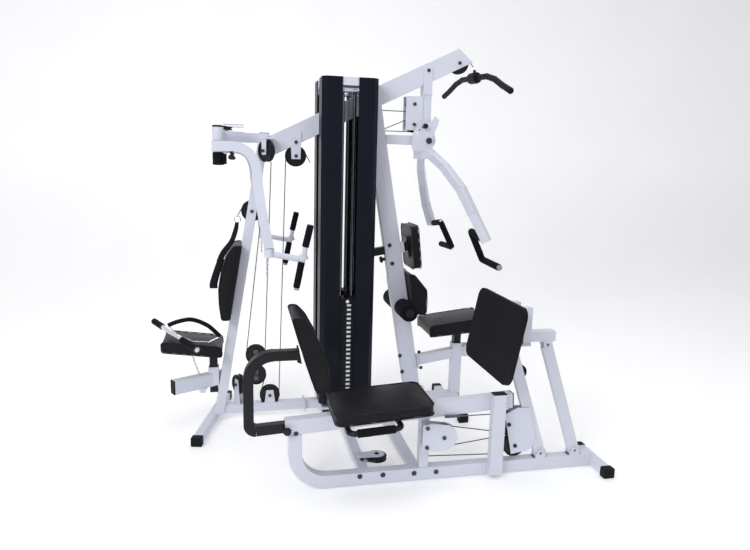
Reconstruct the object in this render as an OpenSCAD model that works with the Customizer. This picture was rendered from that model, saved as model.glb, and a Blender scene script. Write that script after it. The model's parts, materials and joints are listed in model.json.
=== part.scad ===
// Multi-station home gym with two weight stacks, standing on the floor at z = 0.
// The main frame lies in the plane y = 0: x runs from the fly and row station on the left
// to the press station on the right. The leg press lies in its own plane at the front (-y).

/* [Tubes] */
// outside size of the square main tube
tube = 50.8; // [48:0.1:54]
// depth of the large rectangular tube of the top boom
boom_depth = 101.6; // [98:0.1:106]
// tube wall
wall = 2.5; // [1.5:0.1:4]

/* [Weight stacks] */
// plates below each head plate
plates = 20; // [12:1:20]
// distance from one plate to the next
pitch = 25.4; // [25:0.1:26]
// plate width
plate_w = 226; // [200:1:240]
// plate depth
plate_d = 96; // [80:1:100]

/* [Pulleys and cables] */
// outside radius of the large pulleys
pulley_r = 57; // [50:0.5:60]
// pulley width
pulley_w = 25; // [20:0.5:28]
// cable radius
cable_r = 2.6; // [2:0.1:3.2]

/* [Pads] */
// width of the chest and back pads; the seats are wider
pad_w = 240; // [220:1:260]
// nominal thickness of the upper pad, which is made 8 thinner
pad_t = 50; // [40:1:60]

/* [Hidden] */

white = [0.9, 0.9, 0.95];
black = [0.08, 0.08, 0.1];
chrome = [0.75, 0.77, 0.8];

bolt_r = 5;
bolt_hole = 5.05;
groove = 4.2;      // cable centre below the pulley rim
small_pulley = 43; // radius of the pulleys in the hanger box

// base tubes and cross feet
base_z = 71.5;
base_top = base_z + tube/2;
foot_z = 27;
foot_h = 38.1;
left_foot = [[-822, -324, foot_z], [-680, 324, foot_z]];
right_foot = [[665, -255, foot_z], [665, 255, foot_z]];
leg_foot = [[1135, -985, foot_z], [1135, -700, foot_z]];

// centre lines of the two leaning uprights
function left_x(z) = -724 + 0.168*z;
function right_x(z) = 441 - 0.1725*z;
function left_at(z) = [left_x(z), 0, z];
function right_at(z) = [right_x(z), 0, z];

// top boom: a point on its top face, its slope, direction and normal
boom_top = [-414, 0, 1606];
boom_slope = 0.4885;
boom_dir = unit([1, 0, boom_slope]);
boom_normal = unit([-boom_slope, 0, 1]);
// point on the boom centre line at distance s along it
function boom_at(s) = boom_top - boom_normal*boom_depth/2 + boom_dir*s;

// tower: middle in x, stacks at y = +-stack_y, bottom plate at stack_z
tower_x = -15;
stack_y = 107;
stack_z = 196.5;
rod_x = 32;
head_z = stack_z + plates*pitch;
pin_z = head_z + 12.2;

// press station
press_pivot = [455, 0, 1600];
pop_pin = [424, 0, 1678];
hanger_x = 442;
hanger_bolt = [hanger_x, 0, 1980];
post_at = right_at(985); // telescoping post of the upper pad
post_dir = unit([100, 0, 17.5]);
hold_at = right_at(653);
developer_pivot = [788, 0, 366];
developer_end = [1016, 0, 276];
press_sleeve_x = 691.8;

// seat posts: square sleeve, its socket, and the post in it
sleeve_w = 56.8;
socket_w = 46.8;
seat_post_w = 43.2;

// leg press: plane, link pivots, seat rail
leg_y = -840;
link_low = [[838, leg_y, 90], [1022, leg_y, 90]];
link_top = [for (p = link_low) p + [-190, 0, 552]];
link_pulleys = [[661, leg_y, 251], [699, leg_y, 140]];
leg_rail_h = 60;
seat_rail_h = 72;
seat_rail = [[-404, leg_y, 308], [669, leg_y, 374]];
leg_post = [240, leg_y, 68];
leg_post_bolts = [for (z = [186, 280]) [leg_post[0], leg_y - 18.8, z]];
front_post = [556, leg_y - 64.5, 20];
leg_frame_w = 44.4;

// fly and row station
fly_x = -684;
fly_y = 350;
fly_arm_y = 390;
fly_seat_z = 250;
fly_seat_h = 76.2;
fly_post_x = -742;

// pulley centres
boom_left = [-286, 0, 1497];
boom_left_bolt = [-286, 0, 1570];
boom_end = [622, 0, 2030];
middle = left_at(1197);
low_left = [-604, 0, 209];
low_left_turn = -58; // about the vertical
low_right = [-432, 0, 139];
float_top = [-509, 0, 382];
float_low = [-508, 0, 262];
side_pulley = [-446, -94, 1518]; // turned pulley beside the left upright
box_top = [369, 0, 1797];
box_low = [369, 0, 1687];
leg_pulley = [322, leg_y - 41.6, 228];

// ---------- helpers ----------
function unit(v) = v/norm(v);
// copy of a path with its y multiplied by s
function side_path(path, s) = [for (p = path) [p[0], s*p[1], p[2]]];

module round_rect(w, h, r=4) {
  square([w - 2*r, h], center=true);
  square([w, h - 2*r], center=true);
  for (i = [-1, 1], j = [-1, 1])
    translate([i*(w/2 - r), j*(h/2 - r)]) circle(r, $fn=24);
}
// puts the children's z axis on the line from a to b
module along(a, b) {
  d = b - a;
  translate(a) rotate([0, acos(d[2]/norm(d)), atan2(d[1], d[0])]) children();
}
// rectangular tube; solid when t is 0
module beam(a, b, w=tube, h=tube, t=wall, r=4) {
  along(a, b) linear_extrude(norm(b - a)) difference() {
    round_rect(w, h, r);
    if (t > 0) square([w - 2*t, h - 2*t], center=true);
  }
}
module bar(a, b, r, fn=24) {
  along(a, b) cylinder(r=r, h=norm(b - a), $fn=fn);
}
// cylinder along y, centred
module pin_y(at, r, length) {
  translate(at) rotate([90, 0, 0]) cylinder(r=r, h=length, center=true, $fn=32);
}
// outline in x, z given a width along y about y
module profile(y, w, points) {
  translate([0, y, 0]) rotate([90, 0, 0]) linear_extrude(w, center=true) polygon(points);
}
// the same with holes along y at the x and z of each point in holes
module drilled(y, w, points, holes, r=bolt_hole) {
  difference() {
    profile(y, w, points);
    for (p = holes) pin_y([p[0], y, p[2]], r, 20);
  }
}
// turns a section about an axis along y; angles run from +x toward +z
module bend(at, start, r, fn=48, angle=90) {
  translate(at) rotate([90, 0, 0]) rotate([0, 0, start])
    rotate_extrude(angle=angle, $fn=fn) translate([r, 0]) children();
}
// foam sleeve on a bar, held back from its ends by gap_a and gap_b
module foam(a, b, gap_a, gap_b, inner, outer) {
  length = norm(b - a) - gap_a - gap_b;
  along(a, b) translate([0, 0, gap_a]) difference() {
    cylinder(r=outer, h=length, $fn=32);
    translate([0, 0, -1]) cylinder(r=inner, h=length + 2, $fn=32);
  }
}
module bolt_y(at, length, r=bolt_r, head_r=9) {
  pin_y(at, r, length);
  for (s = [-1, 1]) translate([at[0], at[1] + s*(length/2 + 3), at[2]])
    rotate([90, 0, 0]) cylinder(r=head_r, h=6, center=true, $fn=24);
}
module pulley_y(at, r=pulley_r) {
  h = pulley_w/2;
  half = [[5.06, h - 3], [14, h], [20, h - 5], [r - 8, h - 5], [r - 5, h], [r, h], [r - 7, 3]];
  translate(at) rotate([90, 0, 0]) rotate_extrude($fn=60)
    polygon(concat([for (p = half) [p[0], -p[1]]], [for (i = [6:-1:0]) half[i]]));
}
// slot in a tube for a pulley
module pulley_mouth(x, z, length, height, y=0) {
  translate([x, y - 17, z]) cube([length, 34, height]);
}
module at_side_pulley() {
  translate(side_pulley) rotate([0, 0, -55]) children();
}
module left_tube(t) {
  beam(left_at(20), left_at(1700), tube, 76.2, t);
}
module right_tube(t) {
  beam(right_at(40), right_at(1900), 97, tube, t);
}
// keeps the part of the children between heights low and high
module between(low, high) {
  difference() {
    children();
    for (z = [high, low - 2000]) translate([-2000, -1500, z]) cube([4000, 3000, 2000]);
  }
}
// cutters lined up with the left upright, the boom and the leg press seat rail
module left_block(x, half_y=100) {
  along(left_at(100), left_at(1700)) translate([x, -half_y, 0]) cube([500, 2*half_y, 3000]);
}
module above_boom(start, length) {
  along(boom_at(0), boom_at(1300))
    translate([boom_depth/2 - 649.85, -60, start]) cube([650, 120, length]);
}
module above_seat_rail() {
  along(seat_rail[0], seat_rail[1]) translate([-200, -50, -100]) cube([236.1, 100, 1400]);
}
// square column centred on x and y = 0
module column(x, z, w, h) {
  translate([x - w/2, -w/2, z]) cube([w, w, h]);
}
// seat post, hollow from below
module seat_post(x, z, h, bore) {
  difference() {
    column(x, z, seat_post_w, h);
    column(x, z - 1, seat_post_w - 6, bore);
  }
}

// ---------- main frame ----------
// bolted joint plate between the left base and the tower base
module flange(x) {
  difference() {
    translate([x, -48, 44]) cube([6, 96, 58]);
    for (y = [-37, 37])
      translate([x - 1, y, 72]) rotate([0, 90, 0]) cylinder(r=bolt_hole, h=8, $fn=24);
  }
}
module base_left() color(white) {
  difference() {
    beam([-735, 0, base_z], [-241, 0, base_z]);
    along(left_at(0), left_at(1700)) translate([25.45 - 500, -100, -50]) cube([500, 200, 400]);
    pulley_mouth(-480, 90, 96, 20);
  }
  flange(-241);
  // cheeks of the right low pulley
  for (y = [-20, 20])
    drilled(y, 5, [[-462, base_top], [-402, base_top], [-412, 170], [-452, 170]], [low_right]);
  // turned bracket of the left low pulley, tapered by the leaning cutters
  translate([low_left[0], 0, 0]) rotate([0, 0, low_left_turn]) for (y = [-16, 16]) difference() {
    translate([-30, y - 2.5, base_top]) cube([60, 5, 143]);
    translate([0, 0, low_left[2]]) rotate([90, 0, 0])
      cylinder(r=bolt_hole, h=60, center=true, $fn=24);
    for (s = [-1, 1]) translate([s*44 - 14, -30, 96.8]) rotate([0, -s*6, 0]) cube([28, 60, 160]);
  }
}
module tower_base() color(white) {
  beam([-235, 0, base_z], [150, 0, base_z]);
  for (x = [-125, 95]) difference() {
    beam([x, -172, base_z], [x, 172, base_z]);
    beam([-240, 0, base_z], [200, 0, base_z], t=0);
  }
  // plates under the stacks
  for (s = [-1, 1]) difference() {
    translate([tower_x - 135, s*stack_y - 60, base_top]) cube([270, 120, 8]);
    for (x = [-rod_x, rod_x])
      translate([tower_x + x, s*stack_y, 90]) cylinder(r=9.5, h=30, $fn=32);
  }
  difference() {
    flange(-235);
    translate([-228, -23, 48.6]) cube([10, 46, 46]);
  }
}
module base_right() color(white) {
  beam([150, 0, base_z], [716, 0, base_z]);
  // lugs either side of the right upright
  for (x = [-70, 58]) translate([right_x(97) + x, -25.4, base_top]) cube([12, 50.8, 40]);
}
module cross_feet() color(white) {
  for (foot = [left_foot, right_foot]) beam(foot[0], foot[1], foot_h);
}
module left_upright() color(white) {
  difference() {
    between(46.1, 1611) left_tube(wall);
    pin_y(middle, bolt_hole, 120);
    pulley_mouth(middle[0] - 60, 1130, 120, 134);
    // bolt holes for the back pad
    for (z = [700, 930])
      translate([left_x(z) - 40, 0, z]) rotate([0, 90, 0]) cylinder(r=4.05, h=80, $fn=24);
  }
}
module right_upright() color(white) {
  difference() {
    between(base_top, 1900) right_tube(wall);
    above_boom(-600, 2000);
    // opening for the upper pad post
    along(post_at, post_at + post_dir)
      translate([0, 0, -80]) linear_extrude(160) square([45, 45], center=true);
    pin_y(hold_at, 12.7, 120);
  }
  // strip on the left face
  along(right_at(650), right_at(830)) translate([48.4, -24, 0]) cube([3.4, 48, 180]);
  // collar round the post opening, on the right face
  along(post_at, post_at + post_dir) translate([0, 0, 48.6]) linear_extrude(18) difference() {
    round_rect(60, 60);
    square([45, 45], center=true);
  }
}
module top_boom() color(white) {
  difference() {
    beam(boom_at(-120), boom_at(1290), boom_depth);
    left_block(25.5 - 500);
    // slanted right end
    translate([614, 0, 2108]) rotate([0, 40, 0]) translate([-150, -60, 0]) cube([500, 120, 300]);
    pulley_mouth(555, 1900, 200, 192);
    pulley_mouth(-350, 1500, 84, 76);
    for (p = [boom_end, boom_left_bolt, hanger_bolt]) pin_y(p, bolt_hole, 120);
  }
  // bracket of the turned side pulley
  at_side_pulley() for (y = [-16, 16])
    drilled(y, 4, [[-16, -20], [16, -20], [20, 72], [-20, 72]], [[0, 0, 0]]);
  difference() {
    translate([-470, -118, 1579]) cube([66, 118, 6]);
    along(left_at(100), left_at(1700)) translate([-60, -38.2, 0]) cube([85.5, 76.4, 3000]);
  }
  // bracket of the left pulley
  for (y = [-27.9, 27.9])
    drilled(y, 5, [[-316, 1600], [-256, 1625], [-262, 1480], [-310, 1480]],
      [boom_left, boom_left_bolt]);
}
module press_hanger() color(white) {
  difference() {
    beam([hanger_x, 0, 1646], [hanger_x, 0, 2060]);
    above_boom(-100, 1500);
  }
  // pulley box on the left of the hanger
  difference() {
    translate([320, -31.4, 1655]) cube([97.6, 62.8, 185]);
    translate([315, -28, 1650]) cube([98, 56, 200]);
    translate([416.6, -25.4, 1650]) cube([10, 50.8, 200]);
    for (p = [box_top, box_low]) pin_y(p, bolt_hole, 120);
  }
  for (y = [-28.4, 28.4]) {
    // side plates over the boom
    difference() {
      translate([417, y - 2.8, 1850]) cube([50, 5.6, 158]);
      pin_y([hanger_x, y, hanger_bolt[2]], bolt_hole, 20);
    }
    // pivot ears
    difference() {
      profile(y, 6, [[412, 1720], [466, 1720], [500, 1600], [485, 1568], [430, 1568], [418, 1600]]);
      pin_y([press_pivot[0], y, press_pivot[2]], 10.05, 20);
      pin_y([pop_pin[0], y, pop_pin[2]], 5.1, 20);
    }
    // plates at the right end of the brace
    translate([392, y - 3, 1577]) cube([30, 6, 50]);
  }
  // brace to the upright
  difference() {
    beam([150, 0, 1602], [416, 0, 1602]);
    right_tube(0);
    translate([405, -40, 1560]) cube([100, 80, 100]);
  }
}
module ground_tubes() color(white) {
  // x, rear end of the tube, y of the tab's rear face
  for (g = [[-32, -172.1, -166], [217, -25.4, -25.4]]) {
    beam([g[0], g[1], foot_z], [g[0], leg_y + 26, foot_z], foot_h);
    translate([g[0] - 25.4, g[2] - 8, 46.05]) cube([50.8, 8, 14]);
  }
}
// cap over the end of a foot at a; b is the foot's other end
module foot_cap(a, b) {
  along(a, b) difference() {
    translate([2, 0, -8]) linear_extrude(34) round_rect(50, 57, 6);
    translate([0, 0, -0.05]) linear_extrude(100) round_rect(foot_h + 0.2, tube + 0.2);
  }
}
// plug just past b
module end_plug(a, b, w) {
  along(a, b) translate([0, 0, norm(b - a) + 0.1]) linear_extrude(5) round_rect(w, tube);
}
module end_caps() color(black) {
  for (foot = [left_foot, right_foot, leg_foot]) {
    foot_cap(foot[0], foot[1]);
    foot_cap(foot[1], foot[0]);
  }
  // block under the middle of the tower base
  translate([-40, -25, 0]) cube([80, 50, 46]);
  // tube ends: right base, fly seat beam, left upright, seat rail, front post
  translate([716.1, -25.4, 46.1]) cube([4, 50.8, 50.8]);
  end_plug([-745, 0, fly_seat_z], [-950, -112, fly_seat_z], fly_seat_h);
  between(1611.1, 1614) left_tube(0);
  end_plug(seat_rail[0], seat_rail[1], seat_rail_h);
  translate(front_post + [0, 0, 400]) cube([63.5, 38.1, 5]);
  // stack bumpers
  for (s = [-1, 1], x = [-rod_x, rod_x]) translate([tower_x + x, s*stack_y, 105]) difference() {
    cylinder(r=24, h=stack_z - 105.2, $fn=32);
    translate([0, 0, -1]) cylinder(r=9.6, h=100, $fn=32);
  }
}

// ---------- tower ----------
// front cover outline drawn in by inset, its two outer corners cut off
module top_flat(inset, h) {
  linear_extrude(h) polygon([
    [-145 + inset, -49 - inset], [145 - inset, -49 - inset], [145 - inset, -149.5],
    [129.5, -165 + inset], [-129.5, -165 + inset], [-145 + inset, -149.5]
  ]);
}
module tower_tops() color(white) for (m = [0, 1]) translate([tower_x, 0, 0]) mirror([0, m, 0]) {
  difference() {
    translate([0, 0, 1863]) top_flat(0, 42);
    translate([0, 0, 1860]) top_flat(3, 42);
  }
  // plate that holds the rod tops
  difference() {
    translate([0, 0, 1835]) top_flat(3, 5);
    for (x = [-rod_x, rod_x]) translate([x, -stack_y, 1830]) cylinder(r=9.5, h=20, $fn=32);
    translate([-8, -stack_y - 20, 1830]) cube([80, 40, 20]);
  }
  for (x = [-145, 142]) translate([x, -149, 1835]) cube([3, 100, 28.5]);
}
module shrouds() color(black) {
  for (s = [-1, 1], m = [-1, 1])
    translate([tower_x, 0, 0]) scale([m, s, 1]) translate([0, 0, 125]) linear_extrude(1780)
      polygon([
        [43, -165.6], [43, -172], [127, -172], [150, -149], [150, -44],
        [148, -44], [148, -148.2], [126.2, -170], [45, -170], [45, -165.6]
      ]);
}
module guide_rods() color(chrome) {
  for (s = [-1, 1], x = [-rod_x, rod_x])
    translate([tower_x + x, s*stack_y, 97]) cylinder(r=9.45, h=1753, $fn=32);
}
module weight_plates() color(black) {
  for (s = [-1, 1], i = [0:plates - 1])
    translate([tower_x, s*stack_y, stack_z + i*pitch]) linear_extrude(pitch - 1) difference() {
      round_rect(plate_w, plate_d, 6);
      for (x = [-rod_x, rod_x]) translate([x, 0]) circle(10.2, $fn=32);
      circle(13, $fn=32);
    }
}
// head plate with its drilled stem and top boss; s is -1 for the front stack
module head(s) {
  difference() {
    union() {
      translate([tower_x, s*stack_y, head_z]) linear_extrude(pitch - 1) difference() {
        round_rect(plate_w, plate_d, 6);
        for (x = [-rod_x, rod_x]) translate([x, 0]) circle(9.55, $fn=32);
      }
      difference() {
        translate([tower_x, s*stack_y, stack_z + 4]) cylinder(r=12, h=plates*pitch - 4, $fn=32);
        for (i = [0:plates - 1]) translate([tower_x, s*stack_y, stack_z + i*pitch + 12.2])
          rotate([90, 0, 0]) cylinder(r=4.6, h=40, center=true, $fn=24);
      }
      translate([tower_x, s*stack_y, head_z + pitch - 1]) cylinder(r=11, h=32, $fn=32);
    }
    translate([tower_x, s*(stack_y + 20), pin_z])
      rotate([-s*90, 0, 0]) cylinder(r=4.6, h=60, $fn=24);
  }
}
module front_head() color(black) head(-1);
module rear_head() color(black) head(1);
module selector_pin(s) {
  translate([tower_x, s*(stack_y + 20.5), pin_z]) rotate([0, 0, s < 0 ? 0 : 180])
    rotate([90, 0, 0]) {
      cylinder(r=4.55, h=38, $fn=24);
      translate([0, 0, 30]) cylinder(r=9, h=16, $fn=32);
    }
}
module front_pin() color(chrome) selector_pin(-1);
module rear_pin() color(chrome) selector_pin(1);
module lift_cable(s) {
  z = head_z + pitch + 31;
  translate([tower_x, s*stack_y, z]) cylinder(r=cable_r, h=1834 - z, $fn=16);
}
module front_lift_cable() color(black) lift_cable(-1);
module rear_lift_cable() color(black) lift_cable(1);

// ---------- press station ----------
// centre lines for the +y side: x, y, z
press_arm_path = [
  [446, 70, 1538], [494, 232, 1456], [548, 352, 1345], [594, 422, 1222], [655, 474, 1085]
];
press_grip_path = [[650, 458, 1090], [648, 262, 1116], [726, 254, 958], [729, 486, 950]];
// foam on each leg of the grip: gap at start, gap at end, outer radius
press_foam = [[44, 18, 17], [18, 18, 16.5], [18, 8, 17]];

module arm_tube(s) {
  path = side_path(press_arm_path, s);
  difference() {
    union() {
      for (i = [0:3]) beam(path[i], path[i + 1], 46, 46, 0, 5);
      for (i = [1:3]) translate(path[i]) sphere(r=25, $fn=32);
    }
    translate([300, -60, 1400]) cube([300, 120, 250]);
  }
}
module grip_bar(s) {
  path = side_path(press_grip_path, s);
  for (i = [0:2]) bar(path[i], path[i + 1], 13);
  for (i = [1, 2]) translate(path[i]) sphere(r=14.5, $fn=24);
}
module press_arm() color(white) {
  difference() {
    union() {
      pin_y(press_pivot, 22, 50);
      profile(0, 44, [[436, 1605], [474, 1605], [466, 1545], [414, 1545]]);
      translate([414, -120, 1500]) cube([52, 240, 50]);
      for (s = [-1, 1]) {
        arm_tube(s);
        grip_bar(s);
      }
    }
    pin_y(press_pivot, 10.05, 200);
  }
  // start position plate with a row of holes
  difference() {
    union() {
      profile(-41.2, 6, [
        [356, 1570], [360, 1640], [396, 1700], [470, 1706], [484, 1738], [512, 1716],
        [498, 1672], [480, 1625], [480, 1570], [470, 1540], [366, 1540]
      ]);
      profile(-33.1, 22, [[440, 1542], [440, 1550], [462, 1550], [462, 1542]]);
    }
    pin_y(press_pivot, 10.05, 200);
    pin_y(pop_pin - [0, 41, 0], 5.1, 40);
    for (a = [28, 44, 60]) pin_y(press_pivot + [-80*sin(a), -41, 80*cos(a)], 5.1, 40);
    translate([400, -33, 1551]) cube([100, 50, 200]);
  }
}
module press_grips() color(black) for (s = [-1, 1], i = [0:2]) {
  path = side_path(press_grip_path, s);
  f = press_foam[i];
  foam(path[i], path[i + 1], f[0], f[1], 13.05, f[2]);
}
module press_pop_pin() color(black) {
  // y offset, radius, length
  for (p = [[48.5, 5, 21], [56, 9, 16], [70, 14, 12]]) pin_y(pop_pin - [0, p[0], 0], p[1], p[2]);
}
module lat_bar() color(black) {
  half = [[0, 0, 0], [0, 190, 0], [0, 300, -20], [0, 410, -56], [0, 512, -85]];
  translate([720, 0, 1957]) rotate([4, 0, 0]) {
    for (s = [-1, 1]) {
      path = side_path(half, s);
      for (i = [0:3]) bar(path[i], path[i + 1], 16, 32);
      for (i = [1:4]) translate(path[i]) sphere(r=16.7, $fn=32);
    }
    // bosses and stub at the middle
    pin_y([0, 0, 0], 31, 76);
    pin_y([-6, -40, -4], 25, 60);
    translate([0, 0, 20]) cylinder(r=8, h=24, $fn=24);
  }
}
module upper_post() color(black) {
  tip = post_at + post_dir*82;
  beam(post_at - post_dir*125, tip, 44.4, 44.4);
  along(tip, post_at + post_dir*88) linear_extrude(6) square([120, 90], center=true);
}
module upper_pad() color(black) {
  translate(post_at + post_dir*94.2) rotate([0, 83.5, 0])
    linear_extrude(pad_t - 8) round_rect(250, pad_w, 34);
}
module lower_pad() color(black) {
  profile(0, pad_w, [
    [right_x(855) + 52.8, 855], [right_x(855) + 86, 850], [456, 760], [461, 690],
    [458, 628], [448, 618], [right_x(618) + 52.8, 618]
  ]);
}
module press_seat_beam() color(white) {
  difference() {
    union() {
      profile(0, tube, [[432.6, 337.2], [442.3, 281], [737, 327.6], [737, 385.4]]);
      column(press_sleeve_x, 97, sleeve_w, 311);
      // fork at the right end, plate at the left end
      profile(0, 64.4, [[737, 324], [812, 340], [814, 372], [790, 394], [737, 394]]);
      profile(0, 90, [[430.6, 349], [445.2, 264], [451.5, 265], [436.9, 350]]);
    }
    column(press_sleeve_x, 90, socket_w, 350);
    translate([744, -25.7, 300]) cube([100, 51.4, 140]);
    pin_y(developer_pivot, 8.05, 200);
  }
}
module press_seat_post() color(black) {
  seat_post(691.7, 350, 146, 128);
  translate([610, -60, 487.2]) rotate([0, -4.93, 0]) cube([150, 120, 5]);
}
module press_seat() color(black) {
  profile(0, pad_w + 20, [
    [482, 487], [490, 482], [838, 512], [850, 522], [853, 572],
    [843, 590], [790, 586], [492, 549], [480, 541]
  ]);
}
// pair of rollers on a bar along y
module rollers(at, y, r, length, bore) {
  for (s = [-1, 1]) difference() {
    pin_y(at + [0, s*y, 0], r, length);
    pin_y(at + [0, s*y, 0], bore, length + 10);
  }
}
module hold_rollers() color(black) rollers(hold_at, 143, 50, 170, 12.76);
module leg_developer() color(white) {
  difference() {
    union() {
      pin_y(developer_pivot, 19, 50);
      beam(developer_pivot, developer_end, 44, 40, 0);
      pin_y(developer_end, 24, 40.5);
    }
    pin_y(developer_pivot, 8.05, 200);
  }
  pin_y(developer_end, 11, 464);
}
module developer_rollers() color(black) rollers(developer_end, 131, 45, 198, 11.06);

// ---------- leg press ----------
module lp_base_rail() color(white) {
  difference() {
    beam([-217, leg_y, 38], [1109, leg_y, 38], leg_rail_h);
    for (p = link_low) pulley_mouth(p[0] - 36, 58, 72, 20, leg_y);
  }
  // swept left end
  bend([-217, leg_y, 182], 180, 144, 72) difference() {
    square([leg_rail_h, tube], center=true);
    square([leg_rail_h - 5, tube - 5], center=true);
  }
  difference() {
    beam([-361, leg_y, 182], [-361, leg_y, 320], leg_rail_h);
    above_seat_rail();
  }
  beam(leg_foot[0], leg_foot[1], foot_h);
  translate([1109, leg_y - 25.4, 8]) cube([1, 50.8, 60]);
  // bearing blocks
  for (p = link_low, y = [-19, 19]) difference() {
    union() {
      translate([p[0] - 26, leg_y + y - 4, 66]) cube([52, 8, 24]);
      pin_y(p + [0, y, 0], 18, 8);
    }
    pin_y(p + [0, y, 0], 8.02, 20);
  }
}
module lp_seat_rail() color(white) {
  difference() {
    beam(seat_rail[0], seat_rail[1], seat_rail_h);
    translate([-370, leg_y, 250]) cylinder(r=6.05, h=58, $fn=24);
  }
}
module lp_posts() color(white) {
  // middle post
  difference() {
    beam(leg_post, [leg_post[0], leg_y, 360], 44, 44);
    above_seat_rail();
    for (p = leg_post_bolts) pin_y([p[0], leg_y, p[2]], bolt_hole, 80);
  }
  // post on the front side of both rails
  translate(front_post) difference() {
    cube([63.5, 38.1, 400]);
    translate([2.5, 2.5, -1]) cube([58.5, 33.1, 402]);
  }
  // pulley cheeks
  for (y = [-17, 17]) drilled(leg_pulley[1] + y, 4, [
    [218, 296], [262, 300], [340, 288], [366, 276], [382, 256], [387, 228],
    [382, 200], [366, 180], [340, 168], [300, 164], [218, 168]
  ], concat([leg_pulley], leg_post_bolts));
}
module lp_back_frame() color(black) {
  w = leg_frame_w;
  beam([-300, leg_y, 314.4], [-530, leg_y, 300.3], w, w, 0);
  bend([-530, leg_y, 332.3], 180, 32) square([w, w], center=true);
  beam([-562, leg_y, 330], [-562, leg_y, 530], w, w, 0);
  bend([-452, leg_y, 530], 90, 110) square([w, w], center=true);
  beam([-452, leg_y, 640], [-352, leg_y, 640], w, w, 0);
  // pad bracket
  profile(leg_y, 50, [[-352, 610], [-332, 602], [-345, 672], [-352, 675]]);
}
module lp_back_pad() color(black) {
  profile(leg_y, pad_w + 20, [
    [-382, 826], [-374, 834], [-350, 834], [-338, 828], [-306, 794], [-262, 713], [-232, 615],
    [-224, 530], [-232, 510], [-258, 500], [-276, 498], [-300, 558], [-332, 655], [-349, 716]
  ]);
}
module lp_seat() color(black) {
  translate([0, leg_y, 0]) rotate([0, -3.52, 0])
    translate([46, 0, 368.5]) linear_extrude(44) round_rect(446, 316, 36);
}
// a handle loop on each side of the seat rail
module lp_handles() color(black) {
  translate([-140, leg_y, 324.5]) rotate([0, -3.52, 0]) for (m = [0, 1]) mirror([0, m, 0]) {
    for (x = [0, 232]) translate([x, 25.5, 0]) rotate([-90, 0, 0]) cylinder(r=13, h=109.5, $fn=32);
    translate([30, 135, 0]) rotate([0, 0, 90])
      rotate_extrude(angle=90, $fn=48) translate([30, 0]) circle(13, $fn=32);
    translate([202, 135, 0]) rotate_extrude(angle=90, $fn=48) translate([30, 0]) circle(13, $fn=32);
    translate([30, 165, 0]) rotate([0, 90, 0]) cylinder(r=13, h=172, $fn=32);
    translate([38, 165, 0]) rotate([0, 90, 0]) cylinder(r=17, h=156, $fn=32);
  }
}
// rectangular bar with a sleeve at each end
module link(a, b) {
  difference() {
    union() {
      beam(a, b - unit(b - a)*8, 56, 25, 0);
      pin_y(a, 31, 29);
      pin_y(b, 16, 29);
    }
    for (p = [a, b]) pin_y(p, 8.05, 200);
  }
}
module lp_link_main() color(white) {
  link(link_low[0], link_top[0]);
  // pulley cheeks on the left of the link, with thin spacers
  for (y = [-15.5, 15.5]) difference() {
    drilled(leg_y + y, 5,
      [[638, 303], [702, 333], [765, 330], [812, 150], [771, 111], [682, 97]], link_pulleys);
    pin_y(link_low[0], 32, 100);
  }
  for (y = [-12.6, 12.6])
    profile(leg_y + y, 1.4, [[750, 326], [765, 326], [806, 160], [786, 150]]);
}
module lp_link_front() color(white) link(link_low[1], link_top[1]);
module lp_carriage() color(white) {
  beam([636, leg_y, 684.4], [866, leg_y, 684.4], t=0);
  // lugs on the link tops
  for (i = [0, 1], y = [-18.4, 18.4]) {
    x = link_top[i][0];
    drilled(leg_y + y, 7, [
      [x - 24, 662], [x + 24, 662], [x + 18, 632], [x + 8, 622], [x - 8, 622], [x - 18, 632]
    ], [link_top[i]], [8.02, 8.6][i]);
  }
  // uprights behind the foot plate
  translate([668, leg_y - 85, 659]) cube([44, 170, 10]);
  for (y = [leg_y - 62, leg_y + 62]) {
    difference() {
      translate([674, y - 19, 659]) cube([38, 38, 180]);
      translate([677, y - 16, 700]) cube([32, 32, 136]);
    }
    // struts to the foot plate
    profile(y, 20, [[578, 690], [674, 690], [674, 720], [583, 720]]);
    profile(y, 20, [[597, 790], [674, 790], [674, 815], [601, 815]]);
  }
}
module lp_foot_plate() color(black) {
  low = [522.1, leg_y, 530];
  high = [587.8, leg_y, 876];
  length = norm(high - low);
  along(low, high) translate([10, 0, 0]) rotate([0, 90, 0])
    translate([-length/2, 0, -10]) linear_extrude(20) round_rect(length, 512, 50);
}

// ---------- fly and row station ----------
module pec_crosshead() color(white) {
  difference() {
    union() {
      translate([fly_x - 25, -fly_y, 1560]) cube([50, 2*fly_y, 50]);
      translate([fly_x, -25.4, 1560]) cube([300, 50.8, 50]);
      for (s = [-1, 1]) translate([fly_x, s*fly_y, 1556]) cylinder(r=26, h=62, $fn=40);
    }
    left_block(-25.55);
    for (s = [-1, 1]) translate([fly_x, s*fly_y, 1500]) cylinder(r=14.05, h=200, $fn=40);
    translate([fly_x - 22, -fly_y + 36, 1563]) cube([44, 2*fly_y - 72, 44]);
  }
  // flat brackets on both arms of the crosshead
  for (y = [-110, 110]) {
    for (z = [1607, 1643]) difference() {
      translate([fly_x + 20, y - 25, z]) cube([104, 50, 4]);
      translate([fly_x + 96, y, z - 5]) cylinder(r=bolt_hole, h=20, $fn=24);
    }
    translate([fly_x + 20, y - 25, 1607]) cube([4, 50, 40]);
  }
}
// quadratic curve from a to c, drawn toward b
function curve(a, b, c, t) = a*(1 - t)*(1 - t) + b*2*t*(1 - t) + c*t*t;
// outline of a bar of the given half width that follows a list of points
function tangent(p, i) = unit(p[min(i + 1, len(p) - 1)] - p[max(i - 1, 0)]);
function offset_point(p, i, d) = p[i] + d*[-tangent(p, i)[1], tangent(p, i)[0]];
function ribbon(p, half) = concat(
  [for (i = [0:len(p) - 1]) offset_point(p, i, half)],
  [for (i = [len(p) - 1:-1:0]) offset_point(p, i, -half)]
);
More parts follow.
